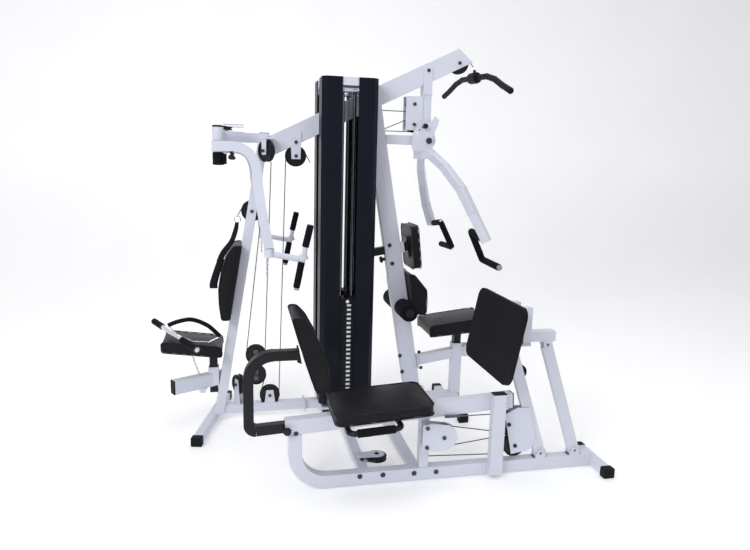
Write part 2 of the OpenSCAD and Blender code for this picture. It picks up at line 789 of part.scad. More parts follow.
// arm centre line in x, z
fly_arm_path = concat(
  [[fly_x - 26, 1530]],
  [for (i = [0:8]) curve([-612, 1530], [-512, 1526], [-503, 1400], i/8)],
  [for (i = [1:4]) curve([-503, 1400], [-500, 1300], [-449, 1046], i/4)]
);
// stem, grip bar and boss at the bottom of an arm
module fly_handle(s) {
  y = s*fly_arm_y;
  bar([-447, y, 1017], [-276, y, 985], 15);
  bar([-246, y, 1156], [-314, y, 838], 12);
  bar([-276, y, 985], [-285, y, 1012], 22);
}
module pec_arm(s) {
  y = s*fly_arm_y;
  translate([fly_x, s*fly_y, 1503]) cylinder(r=31, h=52, $fn=40);
  translate([fly_x - 28, min(s*350, s*412), 1506]) cube([56, 62, 48]);
  profile(y, 44, ribbon(fly_arm_path, 23));
  bar([-449, y, 1042], [-447, y, 1000], 24.5);
  fly_handle(s);
  // pivot shaft
  translate([fly_x, s*fly_y, 1440]) cylinder(r=14, h=182, $fn=40);
}
module pec_arm_near() color(white) pec_arm(-1);
module pec_arm_far() color(white) pec_arm(1);
// foam above and below the boss, and the sleeve on the pivot shaft
module pec_grips(s) {
  y = s*fly_arm_y;
  // x, z of the top, x, z of the bottom
  for (g = [[-245, 1160, -277, 1022], [-293, 963, -315, 842]]) difference() {
    bar([g[0], y, g[1]], [g[2], y, g[3]], 16.5);
    fly_handle(s);
  }
  difference() {
    translate([fly_x, s*fly_y, 1441]) cylinder(r=26, h=61.5, $fn=32);
    translate([fly_x, s*fly_y, 1430]) cylinder(r=14, h=80, $fn=40);
  }
}
module pec_grips_near() color(black) pec_grips(-1);
module pec_grips_far() color(black) pec_grips(1);
module pec_seat_beam() color(white) {
  difference() {
    union() {
      difference() {
        beam([-640, 57.4, fly_seat_z], [-950, -112, fly_seat_z], fly_seat_h);
        left_block(-25.4, 150);
      }
      column(fly_post_x, 218, sleeve_w, 106);
    }
    column(fly_post_x, 190, socket_w, 150);
  }
  // small drilled plates under the beam
  for (y = [-34, -62])
    drilled(y, 4, [[-826, 216], [-776, 216], [-788, 190], [-812, 190]], [[-800, 0, 202]], 4.05);
}
module pec_seat_post() color(black) {
  seat_post(fly_post_x, 176, 232, 226);
  profile(0, 110, [[-940, 433.6], [-720, 405.3], [-720, 411.3], [-940, 439.6]]);
}
module pec_seat() color(black) {
  profile(0, pad_w + 10, [
    [-1006, 456], [-996, 447], [-716, 411], [-696, 411.7], [-689, 425],
    [-692, 458], [-706, 469], [-991, 506], [-1006, 500]
  ]);
}
module pec_back_pad() color(black) {
  profile(0, pad_w, [
    [left_x(1020) - 26.2, 1020], [left_x(1020) - 62, 1018], [-655, 975], [-692, 860],
    [-704, 785], [-702, 700], [-692, 622], [-684, 614], [left_x(614) - 26.2, 614]
  ]);
}
module row_bar() color(chrome) {
  a = [-1078, 201, 541];
  b = [-807, -327, 520];
  u = unit(b - a);
  // the bar in three lengths, then the grips and end discs
  cuts = [a + u*4.05, a + u*60, b - u*60, b - u*4.05];
  for (i = [0:2]) bar(cuts[i], cuts[i + 1], 12.5);
  foam(a, a + u*130, 0, 0, 12.55, 16.5);
  foam(b - u*190, b, 0, 0, 12.55, 16.5);
  for (p = [a, b - u*4]) bar(p, p + u*4, 12);
}
module ab_strap() color(black) {
  translate([-600, 0, 1150]) rotate([90, 0, 0])
    rotate_extrude($fn=40) translate([17, 0]) circle(2.6, $fn=16);
  profile(0, 5, [
    [-592, 1128], [-621, 1030], [-662, 973], [-696, 864], [-709, 790], [-711, 772],
    [-750, 766], [-758, 790], [-728, 868], [-694, 962], [-648, 1030], [-612, 1128]
  ]);
}

// ---------- cables and pulleys ----------
// where a cable touches a pulley, at an angle from +x toward +z
function touch(at, angle, r=pulley_r) = at + (r - groove)*[cos(angle), 0, sin(angle)];
// straight cable, its ends held just off the wraps
module run(a, b) {
  u = unit(b - a);
  bar(a + u*0.4, b - u*0.4, cable_r, 16);
}
// cable wrapped on a pulley
module wrap(at, from, to, r=pulley_r) {
  bend(at, from + 0.7, r - groove, 48, to - from - 1.4) circle(cable_r, $fn=16);
}
module cables() color(black) {
  // from the left boom pulley down round the right low pulley, up to the floating block
  run(touch(boom_left, 30), touch(boom_left, 30) + [35, 0, -60.6]);
  wrap(boom_left, 30, 178.3);
  run(touch(boom_left, 178.3), touch(low_right, -1.7));
  wrap(low_right, 164.8, 358.3);
  run(touch(low_right, 164.8), touch(float_low, -15.2));
  wrap(float_low, -15.2, 180);
  run(touch(float_low, 180), touch(float_low, 180) - [0, 0, 44]);
  // over the floating block to the middle pulley and the strap ring
  run([-420, -44, 1462], touch(float_top, -2) + [0, 0, 30]);
  wrap(float_top, 173.6, 358);
  run(touch(float_top, -2) + [0, 0, 30.5], touch(float_top, -2));
  run(touch(float_top, 173.6), touch(middle, -6.4));
  wrap(middle, -6.4, 150);
  run(touch(middle, 150), [-598.6, 0, 1171.4]);
  // side plates of the floating block
  for (y = [-16, 16])
    drilled(y, 4, [[-521, 412], [-497, 412], [-496, 232], [-520, 232]], [float_top, float_low]);
  // between the right upright and the pulley box
  r = small_pulley;
  run(touch(box_top, -90, r) - [181, 0, 0], touch(box_top, -90, r));
  wrap(box_top, -90, 90, r);
  run(touch(box_top, 90, r), touch(box_top, 90, r) - [43, 0, 0]);
  run([206, 0, 1658.4], touch(box_low, 113.5, r));
  wrap(box_low, -90, 113.5, r);
  run(touch(box_low, -90, r) - [162, 0, 0], touch(box_low, -90, r));
  // lat cable
  run(touch(boom_end, 47), touch(boom_end, 47) + [55, 0, -51.3]);
  // leg press cables
  run([403, leg_y - 34, 318], [628, leg_y - 3, 303]);
  bar([330, leg_y - 35, 319], [403, leg_y - 34, 318], 6);
  run(touch(leg_pulley, 76.5), [600, leg_y - 3, 214]);
  run(touch(leg_pulley, -87.3), [640, leg_y - 3, 190]);
  wrap(leg_pulley, 76.5, 272.7);
  run([262, leg_y - 10, 118], [640, leg_y - 10, 100]);
}
module fasteners() color(black) {
  bolt_y(low_right, 46);
  translate(low_left) rotate([0, 0, low_left_turn]) bolt_y([0, 0, 0], 38);
  for (p = [boom_left, boom_left_bolt]) bolt_y(p, 62);
  bolt_y(hanger_bolt, 63);
  bolt_y(boom_end, tube + 1);
  bolt_y(middle, 77);
  at_side_pulley() bolt_y([0, 0, 0], 37);
  for (p = [box_top, box_low]) bolt_y(p, 63.2);
  for (p = [float_top, float_low]) bolt_y(p, 37);
  bolt_y(press_pivot, 89, 10, 17);
  bolt_y(leg_pulley, 39);
  for (p = leg_post_bolts) bolt_y(p, 84);
}
module pulleys_fixed() color(black) {
  for (p = [boom_left, middle, low_right, float_top, float_low, leg_pulley]) pulley_y(p);
  for (p = [box_top, box_low]) pulley_y(p, small_pulley);
  translate(low_left) rotate([0, 0, low_left_turn]) pulley_y([0, 0, 0]);
  at_side_pulley() pulley_y([0, 0, 0]);
}
module pulleys_link() color(black) for (p = link_pulleys) {
  pulley_y(p);
  bolt_y(p, 36.4);
}
module pulley_boom_end() color(black) pulley_y(boom_end);

base_left();
tower_base();
base_right();
cross_feet();
left_upright();
right_upright();
top_boom();
press_hanger();
ground_tubes();
end_caps();
tower_tops();
shrouds();
guide_rods();
weight_plates();
front_head();
rear_head();
front_pin();
rear_pin();
front_lift_cable();
rear_lift_cable();
press_arm();
press_grips();
press_pop_pin();
lat_bar();
upper_post();
upper_pad();
lower_pad();
press_seat_beam();
press_seat_post();
press_seat();
hold_rollers();
leg_developer();
developer_rollers();
lp_base_rail();
lp_seat_rail();
lp_posts();
lp_back_frame();
lp_back_pad();
lp_seat();
lp_handles();
lp_link_main();
lp_link_front();
lp_carriage();
lp_foot_plate();
pec_crosshead();
pec_arm_near();
pec_arm_far();
pec_grips_near();
pec_grips_far();
pec_seat_beam();
pec_seat_post();
pec_seat();
pec_back_pad();
row_bar();
ab_strap();
cables();
fasteners();
pulleys_fixed();
pulleys_link();
pulley_boom_end();
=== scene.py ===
# A multi-station gym with upholstered pads, foam grips, swinging arms and a weight stack.
# The floor is z = 0 and z is up. The camera stands on the -y side and sees +x to its right,
# so "near" pieces lie towards -y and "far" pieces towards +y.
# Places and turned profiles are in millimetres; path helpers and materials work in metres.
import bpy
import bmesh
import json
import math
from mathutils import Matrix, Vector, noise
from mathutils.kdtree import KDTree


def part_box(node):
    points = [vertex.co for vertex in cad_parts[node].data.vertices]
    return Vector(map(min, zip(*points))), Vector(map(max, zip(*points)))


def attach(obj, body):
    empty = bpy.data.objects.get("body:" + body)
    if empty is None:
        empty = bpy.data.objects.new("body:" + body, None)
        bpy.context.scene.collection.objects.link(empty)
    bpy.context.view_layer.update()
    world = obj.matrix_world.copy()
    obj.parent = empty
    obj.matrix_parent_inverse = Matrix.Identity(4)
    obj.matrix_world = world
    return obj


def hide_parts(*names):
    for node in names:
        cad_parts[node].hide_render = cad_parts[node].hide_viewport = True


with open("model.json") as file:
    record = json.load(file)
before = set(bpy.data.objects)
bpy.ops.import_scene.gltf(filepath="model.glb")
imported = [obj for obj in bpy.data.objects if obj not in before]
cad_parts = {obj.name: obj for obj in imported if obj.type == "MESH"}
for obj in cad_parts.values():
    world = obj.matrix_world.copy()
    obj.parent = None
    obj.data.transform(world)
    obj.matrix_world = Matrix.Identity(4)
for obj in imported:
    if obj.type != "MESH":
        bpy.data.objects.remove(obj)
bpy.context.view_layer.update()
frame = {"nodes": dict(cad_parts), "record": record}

NODES = frame["nodes"]
RECORD = frame["record"]
SLOTS = {part["node"]: part["material_slot"] for part in RECORD["subparts"]}
BODIES = {node: body for body, nodes in RECORD["behaviour"]["bodies"].items() for node in nodes}

SIDES = ((-1, "near"), (1, "far"))  # sign of y, name of the side
X_AXIS, Y_AXIS, Z_AXIS = Vector((1, 0, 0)), Vector((0, 1, 0)), Vector((0, 0, 1))
TOWARDS_NEAR = (0, -1, 0)


# ---------------------------------------------------------------- materials
class Finish:
    """A material on its Principled node, textured in object coordinates."""

    def __init__(self, name):
        self.material = bpy.data.materials.new(name)
        self.material.use_nodes = True
        self.tree = self.material.node_tree
        self.principled = self.tree.nodes["Principled BSDF"]
        coords = self.node("ShaderNodeTexCoord")
        mapping = self.node("ShaderNodeMapping", {"Vector": coords.outputs["Object"]})
        self.vector = mapping.outputs["Vector"]

    def feed(self, node, inputs):
        """Link each input to a socket, or set it to a plain value."""
        for key, value in inputs.items():
            if isinstance(value, bpy.types.NodeSocket):
                self.tree.links.new(value, node.inputs[key])
            else:
                node.inputs[key].default_value = value

    def node(self, kind, inputs={}):
        node = self.tree.nodes.new(kind)
        self.feed(node, inputs)
        return node

    def surface(self, inputs):
        self.feed(self.principled, inputs)

    def noise(self, scale, detail, roughness=0.5):
        return self.node("ShaderNodeTexNoise", {
            "Scale": scale, "Detail": detail, "Roughness": roughness,
            "Vector": self.vector}).outputs["Fac"]

    def ramp(self, factor, low, high):
        """Colour ramp between two (position, colour) stops."""
        node = self.node("ShaderNodeValToRGB", {"Fac": factor})
        for stop, (position, color) in zip(node.color_ramp.elements, (low, high)):
            stop.position = position
            stop.color = (*color, 1)
        return node.outputs["Color"]

    def remap(self, factor, low, high):
        return self.node("ShaderNodeMapRange", {
            "To Min": low, "To Max": high, "Value": factor}).outputs["Result"]

    def bump(self, height, strength, distance, normal=None):
        inputs = {"Strength": strength, "Distance": distance, "Height": height}
        if normal is not None:
            inputs["Normal"] = normal
        return self.node("ShaderNodeBump", inputs).outputs["Normal"]


def shade(color, factor):
    return tuple(min(1, channel * factor) for channel in color)


def powder(name, color, rough=0.38, edge=(0.93, 0.94, 0.97), specular=0.5, coat=0.25):
    """Powder coat: fine orange peel, rounded normals, and edges lightened towards the edge
    colour as a painted highlight.
    """
    finish = Finish(name)
    clouds = finish.noise(scale=3.0, detail=3)
    peel = finish.noise(scale=700, detail=2)
    base = finish.ramp(clouds, (0.3, shade(color, 0.94)), (0.75, color))
    bevel = finish.node("ShaderNodeBevel", {"Radius": 0.0025})
    bevel.samples = 4
    geometry = finish.node("ShaderNodeNewGeometry")
    # The rounded and true normals agree on flats and part at edges.
    agreement = finish.node("ShaderNodeVectorMath", {
        0: bevel.outputs["Normal"], 1: geometry.outputs["Normal"]})
    agreement.operation = "DOT_PRODUCT"
    # Painted highlight: where the normals part at edges, the colour is mixed up to 0.6 of the
    # way to the lighter edge colour.
    painted_edge_highlight = finish.node("ShaderNodeMapRange", {
        "From Min": 0.98, "From Max": 0.80, "To Min": 0, "To Max": 0.6,
        "Value": agreement.outputs["Value"]})
    mix = finish.node("ShaderNodeMixRGB", {
        "Fac": painted_edge_highlight.outputs["Result"], "Color1": base, "Color2": (*edge, 1)})
    finish.surface({
        "Base Color": mix.outputs["Color"],
        "Roughness": finish.remap(clouds, low=rough - 0.05, high=rough + 0.08),
        "Normal": finish.bump(peel, strength=0.12, distance=0.0004,
                              normal=bevel.outputs["Normal"]),
        "Specular IOR Level": specular, "Coat Weight": coat, "Coat Roughness": 0.25})
    return finish.material


def vinyl(name, color, specular, cells=420):
    """Upholstery vinyl: a cell grain over soft wrinkles."""
    finish = Finish(name)
    grain = finish.node("ShaderNodeTexVoronoi", {"Vector": finish.vector})
    grain.feature = "DISTANCE_TO_EDGE"
    grain.inputs["Scale"].default_value = cells
    clouds = finish.noise(scale=9, detail=4)
    wrinkles = finish.noise(scale=45, detail=5, roughness=0.6)
    grain_normal = finish.bump(grain.outputs["Distance"], strength=0.35, distance=0.0006)
    finish.surface({
        "Base Color": finish.ramp(clouds, (0.3, shade(color, 0.75)), (0.7, shade(color, 1.35))),
        "Roughness": finish.remap(clouds, low=0.34, high=0.5),
        "Normal": finish.bump(wrinkles, strength=0.18, distance=0.002, normal=grain_normal),
        "Specular IOR Level": specular})
    return finish.material


def grainy(name, color, rough, scale, strength, metallic=0.0, distance=0.001, vary=0.25,
           specular=0.5):
    """A plain surface with noise grain; vary is how far its colour drifts."""
    finish = Finish(name)
    clouds = finish.noise(scale=6, detail=3)
    grain = finish.noise(scale=scale, detail=4, roughness=0.65)
    finish.surface({
        "Base Color": finish.ramp(clouds, (0.3, shade(color, 1 - vary)),
                                  (0.72, shade(color, 1 + vary))),
        "Roughness": finish.remap(grain, low=rough - 0.06, high=rough + 0.08),
        "Normal": finish.bump(grain, strength=strength, distance=distance),
        "Metallic": metallic, "Specular IOR Level": specular})
    return finish.material


def chrome(name, dark=(0.62, 0.64, 0.67), light=(0.78, 0.79, 0.82)):
    finish = Finish(name)
    clouds = finish.noise(scale=60, detail=4)
    finish.surface({
        "Base Color": finish.ramp(clouds, (0.3, dark), (0.7, light)),
        "Roughness": finish.remap(clouds, low=0.12, high=0.24),
        "Metallic": 1.0})
    return finish.material


def woven(name, color, specular=0.5):
    """Diagonal ribs, for cable and webbing."""
    finish = Finish(name)
    wave = finish.node("ShaderNodeTexWave", {
        "Scale": 160, "Distortion": 1.5, "Vector": finish.vector})
    wave.bands_direction = "DIAGONAL"
    ribs = wave.outputs["Fac"]
    finish.surface({
        "Base Color": finish.ramp(ribs, (0.2, shade(color, 0.6)), (0.8, color)),
        "Normal": finish.bump(ribs, strength=0.3, distance=0.0006),
        "Roughness": 0.4, "Specular IOR Level": specular})
    return finish.material


FINISHES = {
    # The edge colour given to each powder finish is a painted highlight along its rounded edges.
    "frame_white": powder("m_frame_white", (0.66, 0.68, 0.785)),
    "shroud_black": powder("m_shroud", (0.0045, 0.006, 0.013), rough=0.40,
                           edge=(0.02, 0.025, 0.045), specular=0.14, coat=0.05),
    "plate_black": grainy("m_plate", (0.012, 0.0125, 0.016), rough=0.5, scale=500,
                          strength=0.35, specular=0.15),
    "chrome": chrome("m_chrome"),
    "pad_vinyl": vinyl("m_vinyl", (0.005, 0.005, 0.0075), specular=0.20),
    "foam": grainy("m_foam", (0.0065, 0.0065, 0.009), rough=0.78, scale=900,
                   strength=0.6, distance=0.0015, specular=0.10),
    "plastic_black": grainy("m_plastic", (0.009, 0.0095, 0.013), rough=0.36, scale=350,
                            strength=0.15, specular=0.28),
    "cable": woven("m_cable", (0.11, 0.115, 0.13)),
    "rubber_black": grainy("m_rubber", (0.009, 0.009, 0.012), rough=0.6, scale=300,
                           strength=0.3, specular=0.12),
    "bolt_dark": grainy("m_bolt", (0.05, 0.055, 0.085), rough=0.35, scale=200,
                        strength=0.1, metallic=0.6),
    "tube_black": powder("m_tube_black", (0.005, 0.0055, 0.008), rough=0.40,
                         edge=(0.03, 0.03, 0.04), specular=0.28, coat=0.05),
    "vinyl_trim": vinyl("m_vinyl_trim", (0.010, 0.010, 0.013), specular=0.22, cells=800),
    "webbing": woven("m_webbing", (0.016, 0.016, 0.020), specular=0.12),
    "plug": grainy("m_plug", (0.30, 0.31, 0.34), rough=0.5, scale=300, strength=0.15),
    "chip": grainy("m_chip", (0.72, 0.73, 0.74), rough=0.5, scale=300, strength=0.08,
                   vary=0.05),
}

for node, piece in NODES.items():
    if piece.material_slots:
        for slot in piece.material_slots:
            slot.material = FINISHES[SLOTS[node]]
    else:
        piece.data.materials.append(FINISHES[SLOTS[node]])


# ---------------------------------------------------------------- paths
def mm(x, y, z):
    return Vector((x, y, z)) * 0.001


def square_to(axis, direction):
    """The part of direction at right angles to axis, at unit length."""
    return (direction - axis * direction.dot(axis)).normalized()


def resample(path, step):
    points = [path[0].copy()]
    for start, end in zip(path, path[1:]):
        count = max(1, int((end - start).length / step))
        points += [start.lerp(end, j / count) for j in range(1, count + 1)]
    return points


def corner_arc(before, corner, after, reach, steps):
    """Quadratic curve that leaves and rejoins the path at reach from its corner."""
    start = corner + (before - corner).normalized() * reach
    end = corner + (after - corner).normalized() * reach
    return [start * (1 - t)**2 + corner * 2 * t * (1 - t) + end * t * t
            for t in [i / steps for i in range(steps + 1)]]


def fillet(path, reach):
    points = [path[0]]
    for before, corner, after in zip(path, path[1:], path[2:]):
        points += corner_arc(before, corner, after, reach, steps=8)
    return points + [path[-1]]


def fillet_loop(loop, reach):
    points = []
    for i, corner in enumerate(loop):
        before, after = loop[i - 1], loop[(i + 1) % len(loop)]
        fitted = min(reach, (before - corner).length * 0.45, (after - corner).length * 0.45)
        points += corner_arc(before, corner, after, fitted, steps=5)
    return points


def catmull(stations, steps=8):
    """Catmull-Rom curve through every station."""
    knots = [stations[0] * 2 - stations[1], *stations, stations[-1] * 2 - stations[-2]]
    points = []
    for a, b, c, d in zip(knots, knots[1:], knots[2:], knots[3:]):
        for j in range(steps):
            t = j / steps
            points.append(0.5 * ((2 * b) + (c - a) * t + (2 * a - 5 * b + 4 * c - d) * t * t
                                 + (3 * b - a - 3 * c + d) * t**3))
    return points + [stations[-1]]


def path_frames(path, closed):
    """Two directions across the path at each point, carried along without twist."""
    count = len(path)
    tangents = []
    for i in range(count):
        before = path[(i - 1) % count] if closed or i else path[0]
        after = path[(i + 1) % count] if closed or i < count - 1 else path[-1]
        tangents.append((after - before).normalized())
    side = Z_AXIS if abs(tangents[0].z) < 0.9 else Y_AXIS
    across = []
    for tangent in tangents:
        side = square_to(tangent, side)
        across.append((side, tangent.cross(side)))
    return across


# ---------------------------------------------------------------- meshes
def mesh_piece(name, verts, faces, finish, body, smooth=True):
    mesh = bpy.data.meshes.new(name)
    mesh.from_pydata([tuple(vert) for vert in verts], [], faces)
    mesh.update()
    mesh.materials.append(FINISHES[finish])
    for polygon in mesh.polygons:
        polygon.use_smooth = smooth
    piece = bpy.data.objects.new(name, mesh)
    bpy.context.scene.collection.objects.link(piece)
    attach(piece, body)
    return piece


def ring_faces(rows, k, wrap=False):
    """Quads between rows of k vertices; wrap joins the last row to the first."""
    faces = []
    for i in range(rows if wrap else rows - 1):
        a, b = i * k, ((i + 1) % rows) * k
        faces += [(a + j, a + (j + 1) % k, b + (j + 1) % k, b + j) for j in range(k)]
    return faces


def capped_faces(rows, k):
    last = (rows - 1) * k
    return ring_faces(rows, k) + [tuple(reversed(range(k))), tuple(range(last, last + k))]


def foam_noise(point):
    return noise.noise(point * 45) + 0.5 * noise.noise(point * 160)


def tube_verts(path, radii, segments, closed=False, wobble=0, radius=0):
    """A ring of vertices per path point; wobble is sampled at the nominal radius."""
    verts = []
    for point, (side, over), reach in zip(path, path_frames(path, closed), radii):
        for j in range(segments):
            angle = 2 * math.pi * j / segments
            out = side * math.cos(angle) + over * math.sin(angle)
            lump = wobble * foam_noise(point + out * radius) if wobble else 0
            verts.append(point + out * (reach + lump))
    return verts


def round_ends(path, radius, edge, fractions):
    """Rebuild the path with stations at fractions of edge from each end, and their radii."""
    ends = [edge * fraction for fraction in fractions]
    first, last = path[0], path[-1]
    lead, trail = (path[1] - first).normalized(), (last - path[-2]).normalized()
    core = [p for p in path
            if (p - first).length > edge * 1.05 and (p - last).length > edge * 1.05]
    points = [first + lead * d for d in ends] + core + [last - trail * d for d in reversed(ends)]
    turned = [radius - edge + math.sqrt(max(0, edge * edge - (edge - d)**2)) for d in ends]
    return points, turned + [radius] * len(core) + turned[::-1]


def rod(name, path, radius, finish, body, edge, segments, wobble=0):
    """Solid round bar with ends rounded over by edge."""
    path, radii = round_ends(resample(path, 0.012), radius, edge, (0, 0.15, 0.4, 0.7, 1))
    verts = tube_verts(path, radii, segments, wobble=wobble, radius=radius)
    return mesh_piece(name, verts, capped_faces(len(path), segments), finish, body)


def hoop(name, path, radius, finish, body, segments, step):
    """Round wire along a path whose last point repeats its first."""
    path = resample(path, step)[:-1]
    verts = tube_verts(path, [radius] * len(path), segments, closed=True)
    return mesh_piece(name, verts, ring_faces(len(path), segments, wrap=True), finish, body)


def sleeve(name, path, outer, bore, body, edge=0.005, segments=32, wobble=0.0005):
    """Foam tube with a bore, its outer ends rounded over by edge."""
    path, radii = round_ends(resample(path, 0.006), outer, edge, (0, 0.12, 0.35, 0.65, 1))
    count = len(path)
    verts = tube_verts(path, radii, segments, wobble=wobble, radius=outer)
    inner = tube_verts(path, [bore] * count, segments)
    for i in reversed(range(count)):
        verts += inner[i * segments:(i + 1) * segments]
    return mesh_piece(name, verts, ring_faces(2 * count, segments, wrap=True), "foam", body)


def lathe(name, at, axis, profile, finish, body, segments=32, flute=0.0, flutes=0, smooth=True):
    """Turned piece; profile rows are (distance along axis, radius) in mm.

    Flutes cut the radius by up to the flute fraction."""
    axis = Vector(axis).normalized()
    side = square_to(axis, Z_AXIS if abs(axis.z) < 0.9 else X_AXIS)
    over = axis.cross(side)
    verts = []
    for distance, radius in profile:
        for j in range(segments):
            angle = 2 * math.pi * j / segments
            cut = flute * (0.5 + 0.5 * math.cos(flutes * angle))
            out = side * math.cos(angle) + over * math.sin(angle)
            verts.append(at + axis * (distance * 0.001) + out * (radius * (1 - cut)) * 0.001)
    faces = capped_faces(len(profile), segments)
    return mesh_piece(name, verts, faces, finish, body, smooth)


def hex_bolt(name, at, axis, r=8.5):
    """Washer and hexagonal head with a hollow top; r is the head's corner radius."""
    height = 6.0
    washer = [(0.05, r * 1.35), (0.4, r * 1.42), (1.4, r * 1.42), (1.8, r * 1.34)]
    head = [(1.7, r * 0.97), (2.1, r), (height - 1.0, r), (height, r * 0.86),
            (height - 0.9, r * 0.55), (height - 1.1, r * 0.2)]
    lathe(name + "_washer", at, axis, washer, "bolt_dark", "frame")
    lathe(name + "_head", at, axis, head, "bolt_dark", "frame", segments=6, smooth=False)


# ---------------------------------------------------------------- upholstery
VOXEL = 0.006        # remesh cell
SWELL_LIMIT = 0.012  # furthest a vertex may move when the pad inflates
SHRINK = 0.003       # free surface is drawn in before inflating
PIN_SHRINK = 0.0006  # pinned surface is drawn in less
CLOTH_FRAMES = 20

# Node, direction its backing faces, whether seams keep only edges of near-constant y.
PADS = (
    ("upper_pad", (-1, 0, -0.11), False),
    ("lower_pad", (-1, 0, -0.17), True),
    ("press_seat", (0, 0, -1), True),
    ("lp_back_pad", (-0.93, 0, -0.36), True),
    ("lp_seat", (-0.06, 0, -1), False),
    ("pec_seat", (0.12, 0, -1), True),
    ("pec_back_pad", (1, 0, -0.17), True),
)


def clean_bmesh(node):
    bm = bmesh.new()
    bm.from_mesh(NODES[node].data)
    bmesh.ops.remove_doubles(bm, verts=bm.verts, dist=2e-5)
    bmesh.ops.dissolve_limit(bm, angle_limit=0.02, verts=bm.verts, edges=bm.edges)
    return bm


def point_key(point):
    return tuple(round(value, 4) for value in point)


def seam_loops(node, level_y):
    """Chains of points along the pad's sharp edges."""
    bm = clean_bmesh(node)
    edges = []
    for edge in bm.edges:
        if len(edge.link_faces) == 2 and edge.calc_face_angle(0) > 0.85:
            a, b = (vert.co for vert in edge.verts)
            if not (level_y and abs(a.y - b.y) > 0.002):
                edges.append((a.copy(), b.copy()))
    bm.free()
    neighbours = {}
    for a, b in edges:
        neighbours.setdefault(point_key(a), []).append(b)
        neighbours.setdefault(point_key(b), []).append(a)
    loops, used = [], set()
    for start, _ in edges:
        current = point_key(start)
        if current in used:
            continue
        loop = [start.copy()]
        used.add(current)
        while True:
            ahead = [p for p in neighbours[current] if point_key(p) not in used]
            if not ahead:
                break
            loop.append(ahead[0].copy())
            current = point_key(ahead[0])
            used.add(current)
        if len(loop) > 3:
            loops.append(loop)
    return loops


def add_cloth(pad):
    """Pressurised cloth held by the pin group."""
    cloth = pad.modifiers.new("cloth", "CLOTH")
    settings = cloth.settings
    settings.quality = 4
    settings.mass = 0.25
    settings.tension_stiffness = 9
    settings.compression_stiffness = 9
    settings.shear_stiffness = 4
    settings.bending_stiffness = 0.4
    settings.use_pressure = True
    settings.uniform_pressure_force = 4.0
    settings.vertex_group_mass = "pin"
    settings.effector_weights.gravity = 0
    cloth.collision_settings.use_collision = False
    cloth.point_cache.frame_start = 1
    cloth.point_cache.frame_end = CLOTH_FRAMES


def bake_modifiers(pad):
    """Replace the pad's mesh with its evaluated one and drop its modifiers."""
    depsgraph = bpy.context.evaluated_depsgraph_get()
    mesh = bpy.data.meshes.new_from_object(pad.evaluated_get(depsgraph))
    pad.modifiers.clear()
    pad.data = mesh
    return mesh


def start_pad(node, back, level_y):
    """Remesh a pad, pin its seams and backing, and ready it for inflating."""
    mesh = NODES[node].data.copy()
    pad = bpy.data.objects.new("pad_" + node, mesh)
    bpy.context.scene.collection.objects.link(pad)
    bm = clean_bmesh(node)
    bmesh.ops.triangulate(bm, faces=bm.faces)
    bm.to_mesh(mesh)
    bm.free()
    remesh = pad.modifiers.new("remesh", "REMESH")
    remesh.mode = "VOXEL"
    remesh.voxel_size = VOXEL
    mesh = bake_modifiers(pad)

    loops = seam_loops(node, level_y)
    seam_points = [p for loop in loops for p in resample(loop + [loop[0]], 0.003)]
    tree = KDTree(len(seam_points))
    for i, point in enumerate(seam_points):
        tree.insert(point, i)
    tree.balance()

    pins = pad.vertex_groups.new(name="pin")
    back = Vector(back).normalized()
    normals = [vert.normal.copy() for vert in mesh.vertices]
    for vert, normal in zip(mesh.vertices, normals):
        inset = SHRINK
        if tree.find(vert.co)[2] < VOXEL * 1.1 or normal.dot(back) > 0.75:
            pins.add([vert.index], 1.0, "REPLACE")
            inset = PIN_SHRINK
        vert.co -= normal * inset
    rest = [vert.co.copy() for vert in mesh.vertices]
    mesh.materials.clear()
    mesh.materials.append(FINISHES["pad_vinyl"])
    add_cloth(pad)
    return pad, node, rest, loops


def take_swelling(pad, rest, depsgraph):
    """Keep the simulated shape, limited in how far it leaves the rest shape."""
    swollen = [vert.co.copy() for vert in pad.evaluated_get(depsgraph).data.vertices]
    pad.modifiers.clear()
    for vert, start, end in zip(pad.data.vertices, rest, swollen):
        move = end - start
        if move.length > SWELL_LIMIT:
            move *= SWELL_LIMIT / move.length
        vert.co = start + move


def add_piping(pad, node, loops):
    centre = sum((Vector(corner) for corner in pad.bound_box), Vector()) / 8
    for i, loop in enumerate(loops):
        path = fillet_loop(loop, 0.012)
        path.append(path[0].copy())
        path = [p + (centre - p).normalized() * 0.0012 for p in path]
        hoop(f"piping_{node}_{i}", path, 0.0026, "vinyl_trim", BODIES[node],
             segments=10, step=0.008)


def build_pads():
    scene = bpy.context.scene
    pads = [start_pad(*row) for row in PADS]
    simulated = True
    if simulated:
        for frame_number in range(1, CLOTH_FRAMES + 1):
            scene.frame_set(frame_number)
    depsgraph = bpy.context.evaluated_depsgraph_get()
    for pad, node, rest, loops in pads:
        if simulated:
            take_swelling(pad, rest, depsgraph)
        pad.data.update()
        subdivision = pad.modifiers.new("subdivision", "SUBSURF")
        subdivision.levels = 1
        subdivision.render_levels = 1
        for polygon in bake_modifiers(pad).polygons:
            polygon.use_smooth = True
        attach(pad, BODIES[node])
        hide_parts(node)
        add_piping(pad, node, loops)
    scene.frame_set(1)


build_pads()

# ---------------------------------------------------------------- foam
HOLD_Z = 653
HOLD_X = 441 - 0.1725 * HOLD_Z  # on a line that leans towards -x as it rises
DEVELOPER_X, DEVELOPER_Z = 1016, 276
PEC_Y = 390  # fly arms, either side of y = 0
PEC_PIVOT_X, PEC_PIVOT_Y = -684, 350
PEC_GRIPS = (((-245.2, 1159), (-271, 1049)), ((-289, 975), (-314.8, 843)))  # (x, z) of ends
LP_TILT = math.radians(-3.52)
HOLD_CAP = [(0, 24), (2.5, 25), (4.5, 22), (5, 14), (3.6, 12.5)]


